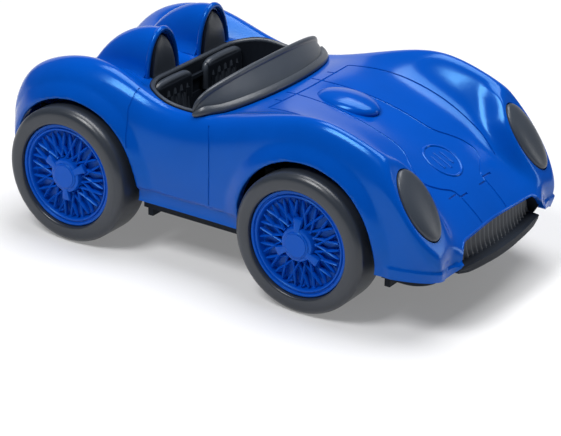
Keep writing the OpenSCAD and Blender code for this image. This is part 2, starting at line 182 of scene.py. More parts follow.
def weld(obj, distance=0.002):
    """Merges doubled points and turns faces outwards."""
    work = bmesh.new()
    work.from_mesh(obj.data)
    bmesh.ops.remove_doubles(work, verts=work.verts, dist=distance * MM)
    bmesh.ops.dissolve_degenerate(work, edges=work.edges, dist=1e-7)
    bmesh.ops.recalc_face_normals(work, faces=work.faces)
    work.to_mesh(obj.data)
    work.free()
    return obj


def flowing(points, step=1.0):
    """Points of a smooth curve through the given ones, a step apart."""
    p = np.asarray(points, float)
    e = np.concatenate([2 * p[:1] - p[1:2], p, 2 * p[-1:] - p[-2:-1]])
    out = []
    for i in range(len(p) - 1):
        a, b, c, d = e[i:i + 4]
        n = max(int(np.linalg.norm(c - b) / step), 1)
        for t in np.arange(n) / n:
            out.append(0.5 * (2 * b + (c - a) * t + (2 * a - 5 * b + 4 * c - d) * t ** 2
                              + (3 * b - a - 3 * c + d) * t ** 3))
    out.append(p[-1])
    return np.array(out)


def mirrored(points):
    """The same points on the other side of the car."""
    return np.asarray(points, float) * [1, -1, 1]


def ease(t):
    """Smooth step from 0 to 1 as t goes from 0 to 1."""
    t = np.clip(t, 0, 1)
    return t * t * (3 - 2 * t)


# ---- Lines plan of the shell ---------------------------------------------------------------
# The same five lines as in part.scad, from the tail hem to the nose hem.
SPINE = [[-131, 0, 31], [-131.4, 0, 45], [-130, 0, 57.5], [-119.5, 0, 69], [-104, 0, 78], [-84, 0, 82.5],
         [-65, 0, 83], [-41, 0, 80], [-17, 0, 80], [7, 0, 84.5], [33, 0, 82.8], [58, 0, 78], [81, 0, 70],
         [102, 0, 60], [116, 0, 50], [126, 0, 39.5], [132.5, 0, 30]]
VALLEY = [[-130.5, 24, 31], [-131.4, 25, 46], [-129.5, 26, 60], [-118, 28, 73], [-101, 30, 81],
          [-82, 32, 84], [-63, 34, 84], [-41, 38, 79], [-17, 40, 78], [7, 37, 84], [33, 36, 86.2],
          [58, 36, 82.2], [81, 36, 73.4], [102, 36, 60], [118, 36, 49], [128, 36, 40], [131, 34, 30]]
CREST = [[-129.5, 42, 31], [-131.5, 44, 48], [-127.5, 48, 70], [-115, 50, 84], [-97, 50.5, 91.5],
         [-79, 50, 93.5], [-61, 51, 89.5], [-41, 53.5, 82], [-17, 54.5, 79], [9, 54.5, 84.5],
         [34, 55.5, 92], [58, 56, 96.3], [81, 56, 91.2], [100, 55, 82.5], [111.3, 52.5, 64],
         [123.8, 49.5, 46], [126.5, 45, 30]]
BELT = [[-127.5, 53, 31], [-128.5, 55, 46], [-124, 59, 58], [-112, 62.5, 66], [-96, 64, 68],
        [-79, 64, 66], [-61, 63.5, 60], [-41, 62.5, 55], [-17, 62.5, 52], [9, 63, 58], [34, 64, 64],
        [58, 65, 66], [81, 65, 60], [103.5, 65.2, 56], [117.5, 62.4, 46.5], [126, 56.5, 37.5],
        [125, 53, 29.5]]
HEM = [[-122, 60, 31], [-119, 61, 31], [-114, 62, 31], [-107, 62.5, 31], [-96, 62.5, 31],
       [-79, 62.5, 30], [-61, 62, 29.5], [-41, 61.3, 29], [-17, 61, 29], [9, 61.2, 29], [34, 62, 29],
       [58, 64, 29], [79, 65, 29], [96, 64.5, 29], [108, 62.5, 29], [116, 59.2, 29], [121.5, 56, 29]]
SPINE, VALLEY, CREST, BELT, HEM = (np.array(line, float) for line in (SPINE, VALLEY, CREST, BELT, HEM))
STATIONS = len(SPINE)


def half_lines(spine, valley, crest, belt, hem):
    """Nine lines across half of the skin, from the spine to the hem."""
    shoulder = np.stack([(crest[:, 0] + belt[:, 0]) / 2, crest[:, 1] * 0.25 + belt[:, 1] * 0.75,
                         crest[:, 2] * 0.67 + belt[:, 2] * 0.33], axis=1)
    return np.array([spine, (spine + valley) / 2, valley, valley * 0.45 + crest * 0.55, crest,
                     shoulder, belt, (belt + hem) / 2, hem])


def inset_lines(t):
    """The same lines moved inwards by t, with the hem dropped below the skin's own."""
    index = np.arange(STATIONS)
    end_shift = np.select([index < 2, index < 4, index > 14, index > 12], [-1, -0.5, 1, 0.7], 0)
    hem_drop = np.full(STATIONS, 6.0)
    drop = np.where((index == 0) | (index == STATIONS - 1), hem_drop, t)

    def inset(line, dy, low=False):
        """One line moved in by dy, and down by t or, where low is set, to the hem's drop."""
        return line - np.stack([end_shift * t, np.full(STATIONS, dy), hem_drop if low else drop], axis=1)
    return half_lines(inset(SPINE, 0), inset(VALLEY, 0), inset(CREST, t / 2), inset(BELT, t),
                      inset(HEM, t, True))


def controls(p):
    """Control points of a cubic B-spline that passes close to the given points."""
    e = np.concatenate([2 * p[:1] - p[1:2], p, 2 * p[-1:] - p[-2:-1]])
    return p - (e[:-2] - 2 * p + e[2:]) / 6


def spline(p, where):
    """Points of the B-spline with control points p at the parameters in where."""
    e = np.concatenate([2 * p[:1] - p[1:2], p, 2 * p[-1:] - p[-2:-1]])
    i = np.minimum(np.floor(where).astype(int), len(e) - 4)
    t = (where - i).reshape((-1,) + (1,) * (p.ndim - 1))
    return ((1 - t) ** 3 * e[i] + (3 * t ** 3 - 6 * t ** 2 + 4) * e[i + 1]
            + (-3 * t ** 3 + 3 * t ** 2 + 3 * t + 1) * e[i + 2] + t ** 3 * e[i + 3]) / 6


def spread(counts):
    """Parameters that split span k into counts[k] steps."""
    return np.concatenate([k + np.arange(n) / n for k, n in enumerate(counts)] + [[len(counts)]])


def half_skin(lines, along, across):
    """Grid of points on the left half: rows from spine to hem, columns from tail to nose.

    Two mirrored lines lead the net across the middle, so that the skin is smooth there.
    """
    net = np.concatenate([mirrored(lines[2])[None], mirrored(lines[1])[None], lines])
    net = controls(np.swapaxes(controls(np.swapaxes(net, 0, 1)), 0, 1))
    rows = spline(net, spread(across) + 2)
    return np.swapaxes(spline(np.swapaxes(rows, 0, 1), spread(along)), 0, 1)


def skin_solid(name, half, foot_z):
    """Closed solid under the skin, from the left half of its grid."""
    grid = np.concatenate([half[:0:-1], mirrored(half)])
    rows, cols = grid.shape[:2]
    index = np.arange(rows * cols).reshape(rows, cols)
    a, b, c, d = index[:-1, :-1], index[:-1, 1:], index[1:, 1:], index[1:, :-1]
    faces = np.stack([a, b, c, d], axis=-1).reshape(-1, 4).tolist()
    rim = np.concatenate([index[0, :-1], index[:-1, -1], index[-1, :0:-1], index[:0:-1, 0]])
    faces += [[rows * cols, rim[(k + 1) % len(rim)], rim[k]] for k in range(len(rim))]
    points = np.concatenate([grid.reshape(-1, 3), [[0, 0, foot_z]]])
    return weld(make_mesh(name, points, faces), FINE)


# Weight of a normal's upward part, against its place across the car, when its sense is chosen.
UP_WEIGHT = 40


def grid_normals(half):
    """Unit normals of the half grid, turned to point away from the car's middle line and up."""
    n = np.cross(np.gradient(half, axis=1), np.gradient(half, axis=0))
    n /= np.maximum(np.linalg.norm(n, axis=2), 1e-9)[..., None]
    return np.where(n[..., 1:2] * half[..., 1:2] + n[..., 2:3] * UP_WEIGHT < 0, -n, n)


# ---- Form of the shell -----------------------------------------------------------------------
FLARE_WIDTH = 7.6
FLARE_OUT = 2.7
FLARE_EDGE_IN = 0.9
DOOR_FROM_X = -47.0
DOOR_TO_X = 17.5
SILL_Z = 37.4
SILL_IN = 1.4
LEDGE_Z = 35.6
NOSE_FROM_X, NOSE_CENTRE = 100, (98, 28)
TAIL_FROM_X, TAIL_CENTRE = -120, (-108, 34)
# How far the skin is filled out inboard of a headlight.
LAMP_SHOULDER = 2.6
LAMP_AT = np.array([111, 52, 64.1])
LAMP_LEAN = math.radians(54)
LAMP_YAW = math.radians(5)
LAMP_AXIS = np.array([math.sin(LAMP_LEAN) * math.cos(LAMP_YAW), math.sin(LAMP_LEAN) * math.sin(LAMP_YAW),
                      math.cos(LAMP_LEAN)])
LAMP_ACROSS = np.array([-math.sin(LAMP_YAW), math.cos(LAMP_YAW), 0])
LAMP_LONG = np.cross(LAMP_ACROSS, LAMP_AXIS)
LAMP_HALF = (18.6, 9.8)
# Room round a headlight in its pocket.
LAMP_GAP = 0.45


def lamp_faced(half):
    """Fits the skin to the headlight: fills its inboard shoulder, then flattens the face round it."""
    offset = half - LAMP_AT
    rise = offset @ LAMP_AXIS
    along = offset @ LAMP_LONG / LAMP_HALF[0]
    inboard = -(offset @ LAMP_ACROSS) / LAMP_HALF[1]
    shoulder = np.exp(-((along + 0.6) / 0.75) ** 2)
    shoulder = shoulder * ease((inboard - 0.2) / 0.7) * (1 - ease((inboard - 1.3) / 1.2))
    offset -= (LAMP_SHOULDER * shoulder * (1 - ease((-rise - 8) / 10)))[..., None] * LAMP_ACROSS
    half = LAMP_AT + offset
    rise = offset @ LAMP_AXIS
    r = np.hypot(along, offset @ LAMP_ACROSS / LAMP_HALF[1])
    pull = (1 - ease((r - 1.1) / 0.7)) * (1 - ease((np.abs(rise) - 6) / 5))
    return half - (pull * rise)[..., None] * LAMP_AXIS


def shaped(half):
    """Adds the lamp faces, wheel flares, recessed sills and corner ledges to the plain skin.

    The last three move it sideways, or away from the centre of the corner at the nose and tail.
    """
    half = lamp_faced(half)
    side = grid_normals(half)
    x, y, z = half[..., 0], half[..., 1], half[..., 2]
    for at_end, centre in ((x > NOSE_FROM_X, NOSE_CENTRE), (x < TAIL_FROM_X, TAIL_CENTRE)):
        side[at_end] = (half - [*centre, 0])[at_end]
    side[..., 2] = 0
    side /= np.maximum(np.linalg.norm(side, axis=2), 1e-6)[..., None]
    out = np.zeros_like(x)
    for end in AXLE_X:
        r = np.hypot(x - AXLE_X[end], z - TYRE_R)
        t = np.clip((ARCH_R[end] + FLARE_WIDTH - r) / FLARE_WIDTH, 0, 1)
        bump = FLARE_OUT * t ** 0.9 - FLARE_EDGE_IN * np.clip((t - 0.82) / 0.18, 0, 1) ** 2
        out += np.where(y > 50, bump, 0) * ease((z - 29) / 17)
    corner = 0.9 * ease((x - 100) / 4) + 0.4 * ease((x - 110) / 8) + ease((-122 - x) / 4)
    out += corner * ease((LEDGE_Z - z) / 1.2) * ease((y - 34) / 4)
    door = ease((x - DOOR_FROM_X) / 2) * ease((DOOR_TO_X - x) / 2)
    out -= door * (SILL_IN * ease((SILL_Z - z) / 1.5) - 0.4 * ease((31 - z) / 2))
    return half + side * out[..., None]


# Steps of the skin's grid between neighbouring stations and between neighbouring lines.
ALONG = [14] * (STATIONS - 1)
ACROSS = [8, 8, 8, 8, 10, 12, 16, 14]
skin = shaped(half_skin(half_lines(SPINE, VALLEY, CREST, BELT, HEM), ALONG, ACROSS))
plain_skin = skin_solid("plain_skin", skin, 29)
SKIN_TREE = BVHTree.FromObject(plain_skin, bpy.context.evaluated_depsgraph_get())


def hit(start, direction):
    """Where a ray meets the outside of the shell, in millimetres, and the normal there."""
    place, normal, _, _ = SKIN_TREE.ray_cast(Vector(start) * MM, Vector(direction))
    return (np.array(place) / MM, np.array(normal)) if place is not None else (None, None)


def top_at(x, y):
    """The point on the top of the shell at x and y."""
    return hit((x, y, 300), (0, 0, -1))[0]


def draped(points, step=1.0):
    """A smooth curve through (x, y) points, laid on the top of the shell."""
    flat = flowing([[x, y, 0] for x, y in points], step)
    return np.array([top_at(x, y) for x, y, _ in flat])


def side_at(x, z, side):
    """The point on the side of the shell at x and z."""
    return hit((x, side * 300, z), (0, -side, 0))[0]


# ---- Humps -----------------------------------------------------------------------------------
HUMP_FRONT_X = -59.5
HUMP_LENGTH = 41.0
HUMP_HALF_W = 13.2
HUMP_FOOT_Z = 76.0
HUMP_TOP_Z = 106.0
HUMP_FLARE_W = 3.6
HUMP_FLARE_H = 6
HUMP_LIP_FOOT_Z = 78
SEAT_Y = 22.0


def hump_ring(s, shrink, front_x, side, deck_z, points=33):
    """Arch across a hump at station s, with a foot that flares out onto the deck.

    s runs from 0 at the open front to 1 at the tail end. shrink gives the hollow inside the hump.
    """
    k = (1 - s ** 2) ** 0.68
    w = max(HUMP_HALF_W * (0.3 + 0.7 * k ** 0.6) - shrink, 0.4)
    h = max((HUMP_TOP_Z - HUMP_FOOT_Z) * k - shrink, 0.4)
    x = front_x - s * (HUMP_LENGTH - shrink)
    ring = []
    for q in np.linspace(0, math.pi, points):
        z = HUMP_FOOT_Z + h * math.sin(q) ** 0.85
        flare = 0 if shrink else HUMP_FLARE_W * max(0.0, 1 - max(z - deck_z, 0) / HUMP_FLARE_H) ** 3
        ring.append([x, SEAT_Y + (w + flare) * math.cos(q), z])
    ring.append([x, SEAT_Y, HUMP_FOOT_Z - 3])
    return np.array(ring) * [1, side, 1]


def hump(name, side, shrink=0.0, front_x=HUMP_FRONT_X, steps=26):
    """Headrest hump that tapers backwards onto the rear deck."""
    rings = []
    for i in range(steps + 1):
        s = math.sin(math.pi / 2 * i / steps)
        x = front_x - s * (HUMP_LENGTH - shrink)
        rings.append(hump_ring(s, shrink, front_x, side, top_at(x, side * SEAT_Y)[2]))
    return weld(lofted(name, rings), FINE)


def hump_lip(name, side):
    """Rolled bead round the front arch of a hump."""
    arch = hump_ring(0, 0.35, HUMP_FRONT_X + 0.4, side, 0, 49)[:-1]
    arch = arch[arch[:, 2] > HUMP_LIP_FOOT_Z]
    bead = 1.25 + 0.35 * np.clip((arch[:, 2] - 98) / 8, 0, 1)
    return weld(tube(name, arch, bead, 12, up=(1, 0, 0)), FINE)


DOME_AT = np.array([38.5, 0, 81.6])
DOME_HALF = np.array([17.5, 11.5, 5.6])
DOME_LEAN = math.radians(4)


def dome(name):
    """Low oval dome in the middle of the hood."""
    sides = 72
    angles = np.arange(sides) * 2 * math.pi / sides
    rings = []
    for u in np.linspace(0, math.pi, 49)[1:-1]:
        ring = np.column_stack([np.full(sides, -math.cos(u)), math.sin(u) * np.cos(angles),
                                math.sin(u) * np.sin(angles)]) * DOME_HALF
        x = ring[:, 0] * math.cos(DOME_LEAN) + ring[:, 2] * math.sin(DOME_LEAN)
        z = ring[:, 2] * math.cos(DOME_LEAN) - ring[:, 0] * math.sin(DOME_LEAN)
        rings.append(np.column_stack([x, ring[:, 1], z]) + DOME_AT)
    return weld(lofted(name, rings), FINE)


# ---- Openings --------------------------------------------------------------------------------
COCKPIT_FRONT_X = 1.0
COCKPIT_REAR_X = -57.5
COCKPIT_HALF_W = 52.0
COCKPIT_CORNER_R = 26.0
COWL_R = 91.0


def cockpit_outline(grow=0.0, steps=24):
    """Plan of the opening, anticlockwise, starting at the middle of its front."""
    half_w = COCKPIT_HALF_W + grow
    corner = COCKPIT_CORNER_R + grow
    r = COWL_R + grow
    centre_x = COCKPIT_FRONT_X - COWL_R
    end = math.asin(half_w / r)
    side = [[centre_x + r * math.cos(a), r * math.sin(a)] for a in np.linspace(0, end, steps + 1)]
    middle = [COCKPIT_REAR_X + COCKPIT_CORNER_R, COCKPIT_HALF_W - COCKPIT_CORNER_R]
    side += [[x, half_w] for x in np.linspace(side[-1][0], middle[0], 12)[1:-1]]
    side += [[middle[0] + corner * math.cos(a), middle[1] + corner * math.sin(a)]
             for a in np.linspace(math.pi / 2, math.pi, 14)]
    side += [[COCKPIT_REAR_X - grow, y] for y in np.linspace(middle[1], 0, 14)[1:]]
    side = np.array(side)
    return np.concatenate([side, (side * [1, -1])[-2:0:-1]])


def prism(name, outline, low, high):
    """Upright prism over a plan outline."""
    rings = [np.column_stack([outline, np.full(len(outline), z)]) for z in (low, high)]
    return weld(lofted(name, rings), FINE)


MOUTH_HALF_W = 40.4
MOUTH_TOP_Z = 42.3
MOUTH_CORNER_R = 9.5
# Lower end of each side of the mouth, which runs out into the ledge of the corner.
MOUTH_FOOT = [(40.4, 34.6), (40.6, 34), (41.4, 33), (43.2, 32.1), (46, 31.4), (49, 30.9), (52, 30.6)]


def mouth_top(y):
    """Height of the upper edge of the radiator mouth at y."""
    over = max(abs(y) - (MOUTH_HALF_W - MOUTH_CORNER_R), 0)
    return MOUTH_TOP_Z - MOUTH_CORNER_R + math.sqrt(max(MOUTH_CORNER_R ** 2 - over ** 2, 0))


def mouth_outline():
    """Front view of the radiator mouth as (y, z) pairs, open downwards."""
    straight = MOUTH_HALF_W - MOUTH_CORNER_R
    half = [(y, MOUTH_TOP_Z) for y in np.linspace(0, straight, 40)[:-1]]
    half += [(straight + MOUTH_CORNER_R * math.sin(a), MOUTH_TOP_Z - MOUTH_CORNER_R * (1 - math.cos(a)))
             for a in np.linspace(0, math.pi / 2, 14)[:-1]]
    half += MOUTH_FOOT + [(MOUTH_FOOT[-1][0], 8)]
    half = np.array(half)
    return np.concatenate([(half * [-1, 1])[:0:-1], half])


def mouth_cutter(name):
    """Solid that cuts the radiator mouth out of the nose."""
    outline = mouth_outline()
    rings = [np.column_stack([np.full(len(outline), x), outline]) for x in (100, 160)]
    return weld(lofted(name, rings), FINE)


def lamp_ring(side, scale, height, points=72, grow=0.0):
    """Oval across the lamp's own axis, at a height along it."""
    centre = LAMP_AT + LAMP_AXIS * height
    angles = np.arange(points) * 2 * math.pi / points
    return np.array([centre + scale * ((LAMP_HALF[0] + grow) * math.cos(a) * LAMP_LONG
                                       + (LAMP_HALF[1] + grow) * math.sin(a) * LAMP_ACROSS)
                     for a in angles]) * [1, side, 1]


def arch_cutter(name, end, side, sides=160):
    """Solid that cuts a wheel arch through one side of the shell."""
    angles = np.arange(sides) * 2 * math.pi / sides
    rings = [[[AXLE_X[end] + ARCH_R[end] * math.cos(a), side * y, TYRE_R + ARCH_R[end] * math.sin(a)]
              for a in angles] for y in (42, 90)]
    return weld(lofted(name, rings), FINE)


# ---- Shell -----------------------------------------------------------------------------------
def arch_lip(name, end, side):
    """Rolled edge that follows a wheel arch."""
    radius = ARCH_R[end] + 0.55
    path = []
    for a in np.linspace(math.radians(-12), math.radians(192), 120):
        x, z = AXLE_X[end] + radius * math.cos(a), TYRE_R + radius * math.sin(a)
        place = side_at(x, z, side) if z > 29.5 else None
        if place is not None and abs(place[1]) > 50:
            path.append(place - [0, side * 0.75, 0])
    return weld(tube(name, path, 0.9, 10, up=(0, 1, 0)), FINE)


MOUTH_LIP_FOOT_Z = 35.5


def mouth_lip(name):
    """Rolled edge over the radiator mouth, which thins out at its two ends."""
    path = []
    for y, z in mouth_outline()[1:-1]:
        place, _ = hit((300, y, z + 0.4), (-1, 0, 0))
        if place is not None and z > MOUTH_LIP_FOOT_Z:
            path.append(place - [0.6, 0, 0])
    rise = np.minimum(1, np.arange(len(path)) / 4)
    radius = 0.05 + 0.7 * np.minimum(rise, rise[::-1])
    return weld(tube(name, path, radius, 8, up=(1, 0, 0)), FINE)


GROOVE_R = 0.62
# Engraved lines of the left half of the hood, as (x, y).
INNER_LINE = [(15.5, 11.5), (30, 12), (48, 13), (62, 13.6), (74, 14), (80.4, 15.9), (85.8, 20.1), (91.5, 24),
              (97.5, 25), (102.9, 20), (107, 13.6), (110.3, 12.2)]
OUTER_LINE = [(15.5, 36), (36, 37.4), (56, 37.6), (75, 37.4), (89, 36.6), (97, 35), (104, 32.9)]
SCREEN_TICKS = [(9.6, 11.5, 15.5, 11.5), (11, 23.5, 15.5, 23.5)]
TONGUE_LINES = [[(110.3, 12.2), (116, 12), (123, 11.7)], [(109, 12.4), (109, 16), (109, 20)],
                [(111, 12), (111, 9), (111, 6)]]


def hood_grooves():
    """Paths of the lines engraved in the hood, and how wide each is."""
    paths = [(draped([(15.5, y) for y in np.linspace(-36, 36, 9)]), GROOVE_R)]
    for s in SIDES.values():
        for line in [INNER_LINE, OUTER_LINE] + TONGUE_LINES:
            paths.append((draped([(x, s * y) for x, y in line]), GROOVE_R))
        paths += [(draped([(a, s * b), (c, s * d)]), GROOVE_R) for a, b, c, d in SCREEN_TICKS]
    return paths


SEAM_R = 0.45
# Seams of a door: down its side as (x, z), and from the cockpit to the rear seam as (x, y).
FRONT_SEAM = [(-4.6, 78), (-3.2, 74.3), (-1.6, 67.5), (-0.8, 54.9), (-1.4, 43), (-1.6, 38)]
REAR_SEAM = [(-51.1, 79.3), (-51.5, 76), (-51, 72.2), (-50.8, 68.7), (-50.3, 64), (-49.4, 58)]
REAR_SEAM_TOP = [(-50.5, 52), (-50.7, 54), (-50.9, 56.3)]


def door_grooves():
    """Paths of the two door seams on each side."""
    paths = []
    for s in SIDES.values():
        front = [side_at(x, z, s) for x, z in FRONT_SEAM]
        rear = [top_at(x, s * y) for x, y in REAR_SEAM_TOP] + [side_at(x, z, s) for x, z in REAR_SEAM]
        paths += [(flowing(front), SEAM_R), (flowing(rear), SEAM_R)]
    return paths


MARK_X = 93.0
MARK_R = 9.5


def hood_mark():
    """Plain raised ring with three bars, low on the hood."""
    ring = np.array([top_at(MARK_X + MARK_R * math.cos(a), MARK_R * math.sin(a))
                     for a in np.arange(72) * 2 * math.pi / 72])
    beads = [tube("mark_ring", ring, 0.75, 8, flat=0.8, closed=True)]
    for y, half in ((-4, 3.8), (0, 5.2), (4, 3.8)):
        bar = draped([(MARK_X - half, y), (MARK_X + half, y)], 0.6)
        beads.append(tube("mark_bar", bar, 0.8, 8, flat=0.8))
    return beads


def make_shell():
    """The whole blue shell as one closed mesh."""
    shell = plain_skin.copy()
    shell.data = plain_skin.data.copy()
    bpy.context.scene.collection.objects.link(shell)
    shell.name = "shell"
    for s in SIDES.values():
        combine(shell, hump("hump", s), "UNION")
        combine(shell, hump_lip("hump_lip", s), "UNION")
    combine(shell, dome("dome"), "UNION")
    inner = half_skin(inset_lines(WALL), [5] * 16, [4] * 8)
    combine(shell, skin_solid("inner", inner, 22), "DIFFERENCE")
    for s in SIDES.values():
        combine(shell, hump("hollow", s, WALL, HUMP_FRONT_X + 3), "DIFFERENCE")
        for end in AXLE_X:
            combine(shell, arch_cutter("arch", end, s), "DIFFERENCE")
        pocket = [lamp_ring(s, 1, h, grow=LAMP_GAP) for h in (-15, 15)]
        combine(shell, weld(lofted("pocket", pocket)), "DIFFERENCE")
    combine(shell, prism("opening", cockpit_outline(), 60, 120), "DIFFERENCE")
    combine(shell, mouth_cutter("mouth"), "DIFFERENCE")
    for s in SIDES.values():
        for end in AXLE_X:
            combine(shell, arch_lip("arch_lip", end, s), "UNION")
    combine(shell, mouth_lip("mouth_lip"), "UNION")
    for path, radius in hood_grooves() + door_grooves():
        combine(shell, weld(tube("groove", path, radius, 8), FINE), "DIFFERENCE")
    for bead in hood_mark():
        combine(shell, weld(bead, FINE), "UNION")
    smooth(shell, 38)
    weighted = shell.modifiers.new("weighted", "WEIGHTED_NORMAL")
    weighted.keep_sharp = True
    return applied(shell)


# ---- Materials -------------------------------------------------------------------------------
def noise(tree, place, scale, detail, roughness=0.5):
    """Output of a noise texture laid out in the piece's own frame."""
    texture = tree.nodes.new("ShaderNodeTexNoise")
    texture.inputs["Scale"].default_value = scale
    texture.inputs["Detail"].default_value = detail
    texture.inputs["Roughness"].default_value = roughness
    tree.links.new(place.outputs["Object"], texture.inputs["Vector"])
    return texture.outputs["Fac"]


def bumped(tree, height, strength, distance, under=None):
    """Normal with a height map on it, over the bumps that under already gives."""
    bump = tree.nodes.new("ShaderNodeBump")
    bump.inputs["Strength"].default_value = strength
    bump.inputs["Distance"].default_value = distance
    tree.links.new(height, bump.inputs["Height"])
    if under:
        tree.links.new(under, bump.inputs["Normal"])
    return bump.outputs["Normal"]


def plastic(name, colour, roughness, grain_scale, grain, wave=0.0, variation=0.04, specular=0.5,
            sheen=(1, 1, 1)):
    """Moulded plastic: slight colour and gloss variation, fine grain and a faint moulding wave."""
    material = bpy.data.materials.new(name)
    material.use_nodes = True
    tree = material.node_tree
    shader = tree.nodes["Principled BSDF"]
    shader.inputs["Specular IOR Level"].default_value = specular
    shader.inputs["Specular Tint"].default_value = (*sheen, 1)
    place = tree.nodes.new("ShaderNodeTexCoord")

    tint = tree.nodes.new("ShaderNodeValToRGB")
    dark, light = tint.color_ramp.elements
    dark.position, light.position = 0.35, 0.65
    dark.color = (*[c * (1 - variation) for c in colour], 1)
    light.color = (*[min(c * (1 + variation), 1) for c in colour], 1)
    tree.links.new(noise(tree, place, 34, 5), tint.inputs["Fac"])
    tree.links.new(tint.outputs["Color"], shader.inputs["Base Color"])

    gloss = tree.nodes.new("ShaderNodeMapRange")
    gloss.inputs["To Min"].default_value = roughness * 0.86
    gloss.inputs["To Max"].default_value = roughness * 1.16
    tree.links.new(noise(tree, place, 160, 7, 0.65), gloss.inputs["Value"])
    tree.links.new(gloss.outputs["Result"], shader.inputs["Roughness"])

    swell = bumped(tree, noise(tree, place, 70, 1), wave, 0.0004) if wave else None
    normal = bumped(tree, noise(tree, place, grain_scale, 3), grain, 0.0001, swell)
    tree.links.new(normal, shader.inputs["Normal"])
    return material


# Tint of the reflections on the blue plastics.
BLUE_SHEEN = (0.20, 0.60, 1.0)
MATERIAL_OF = {
    "blue_body": plastic("blue_body_plastic", (0.0, 0.066, 0.41), 0.16, 1800, 0.06, wave=0.10,
                         sheen=BLUE_SHEEN),
    "blue_wheel": plastic("blue_wheel_plastic", (0.0, 0.066, 0.46), 0.34, 2200, 0.14, sheen=BLUE_SHEEN),
    "grey_trim": plastic("grey_trim_plastic", (0.038, 0.047, 0.063), 0.33, 2600, 0.35, variation=0.06),
    "dark_interior": plastic("dark_interior_plastic", (0.013, 0.017, 0.025), 0.5, 2600, 0.4,
                             variation=0.08, specular=0.1),
    "tyre_grey": plastic("tyre_plastic", (0.026, 0.032, 0.043), 0.29, 2400, 0.35, wave=0.05,
                         variation=0.06),
    "axle_grey": plastic("axle_plastic", (0.02, 0.021, 0.023), 0.45, 2400, 0.3),
}


def make_piece(obj, name, body, slot, stands_for=()):
    """Names a finished object, gives it its material and puts it on its body."""
    obj.name = name
    obj.data.name = name
    obj.data.materials.clear()
    obj.data.materials.append(MATERIAL_OF[slot])
    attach(obj, body)
    if stands_for:
        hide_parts(*stands_for)
    return obj


for part in frame["record"]["subparts"]:
    data = frame["nodes"][part["node"]].data
    data.materials.clear()
    data.materials.append(MATERIAL_OF[part["material_slot"]])

make_piece(make_shell(), "shell_moulding", CAR, "blue_body", ["body_shell"])


# ---- Headlights ------------------------------------------------------------------------------
def lamp_lens(side):
    """Crowned oval lens with a rounded edge, a little smaller than its pocket."""
    rings = [lamp_ring(side, scale, rise) for scale, rise in (
        (0.99, -5), (0.99, 0.3), (0.98, 0.8), (0.955, 1.15), (0.92, 1.4), (0.86, 1.7), (0.75, 2.1),
        (0.6, 2.45), (0.42, 2.7), (0.25, 2.85), (0.1, 2.9))]
    return smooth(weld(lofted("lens", rings)), 50)


for word, side in SIDES.items():
    make_piece(lamp_lens(side), f"lamp_lens_{word}", CAR, "grey_trim", [f"headlight_{word}"])


# ---- Windscreen ------------------------------------------------------------------------------
def windscreen():
    """Wrap-round deflector with a foot flange, a dished panel and a beaded top edge."""
    rings = []
    for q in np.radians(np.linspace(-87.5, 87.5, 111)):
        c, s = math.cos(q), math.sin(q)
        base = np.array([-16.5 + 23 * c, 55 * s, 0])
        base[2] = top_at(base[0], base[1])[2] + 0.35
        top = np.array([-17.5 + 9.5 * c, 54 * s, 79.5 + 17.5 * max(c, 0) ** 0.5])
        rise = top - base
        height = max(np.linalg.norm(rise), 1e-6)
        up = rise / height
        out = np.array([c, 0.9 * s, 0])
        out -= up * out.dot(up)
        out /= np.linalg.norm(out)
        thickness = 0.35 + 0.65 * min(1.0, height / 9)
        foot = min(4.2, height * 0.42)
        flange = [(-2.3, 0), (0.9, 0), (1.5, 0.5), (1.75, 1.3), (1.6, foot * 0.7), (1.0, foot)]
        panel = [(-0.5, foot + 0.25), (-0.35, foot + 1.1), (-0.4, height * 0.5 + 0.8)]
        bead = [(-0.55, height - 2.9), (0.15, height - 2.3), (0.5, height - 1.5), (0.45, height - 0.7),
                (0.0, height - 0.1), (-0.8, height + 0.2), (-1.6, height - 0.1), (-2.0, height - 0.9)]
        back = [(-2.1, height * 0.5)]
        rings.append([base + out * (a * thickness) + up * min(b, height + 0.2)
                      for a, b in flange + panel + bead + back])
    return smooth(weld(lofted("screen", rings)), 42)


make_piece(windscreen(), "windscreen_moulding", CAR, "grey_trim", ["windscreen"])


# ---- Cockpit ---------------------------------------------------------------------------------
def coaming():
    """Rounded rim round the cockpit opening."""
    path = []
    for x, y in cockpit_outline(-1.45):
        path.append([x, y, top_at(x, y)[2] + 0.15])
    return smooth(weld(tube("coaming", path, 1.3, 12, closed=True)), 50)


make_piece(coaming(), "coaming_rim", CAR, "grey_trim")


FAIRING_X = -60.2
SEAT_HALF_W = 14
FLUTE_PITCH = 5.4


def fairing(side):
    """Pointed headrest shield with crisp side edges and a slightly crowned face."""
    rings = []
    for t in np.linspace(0, 1, 36):
        w = 9.4 * (1 - t ** 2.1) ** 0.64 + 0.35
        z = 77 + 25.5 * t
        depth = 2.7 * (1 - t ** 4) + 0.35
        half = [(-1.2, 0.8), (0, 1.0), (depth * 0.6, 1.0), (depth - 0.3, 0.985), (depth, 0.93),
                (depth + 0.25, 0.7), (depth + 0.45, 0.35)]
        ring = [[FAIRING_X + d, -k * w, z] for d, k in half] + [[FAIRING_X + 0.5 + depth, 0, z]]
        ring += [[FAIRING_X + d, k * w, z] for d, k in half[::-1]]
        rings.append(np.array(ring) + [0, side * SEAT_Y, 0])
    return smooth(weld(lofted("fairing", rings)), 32)


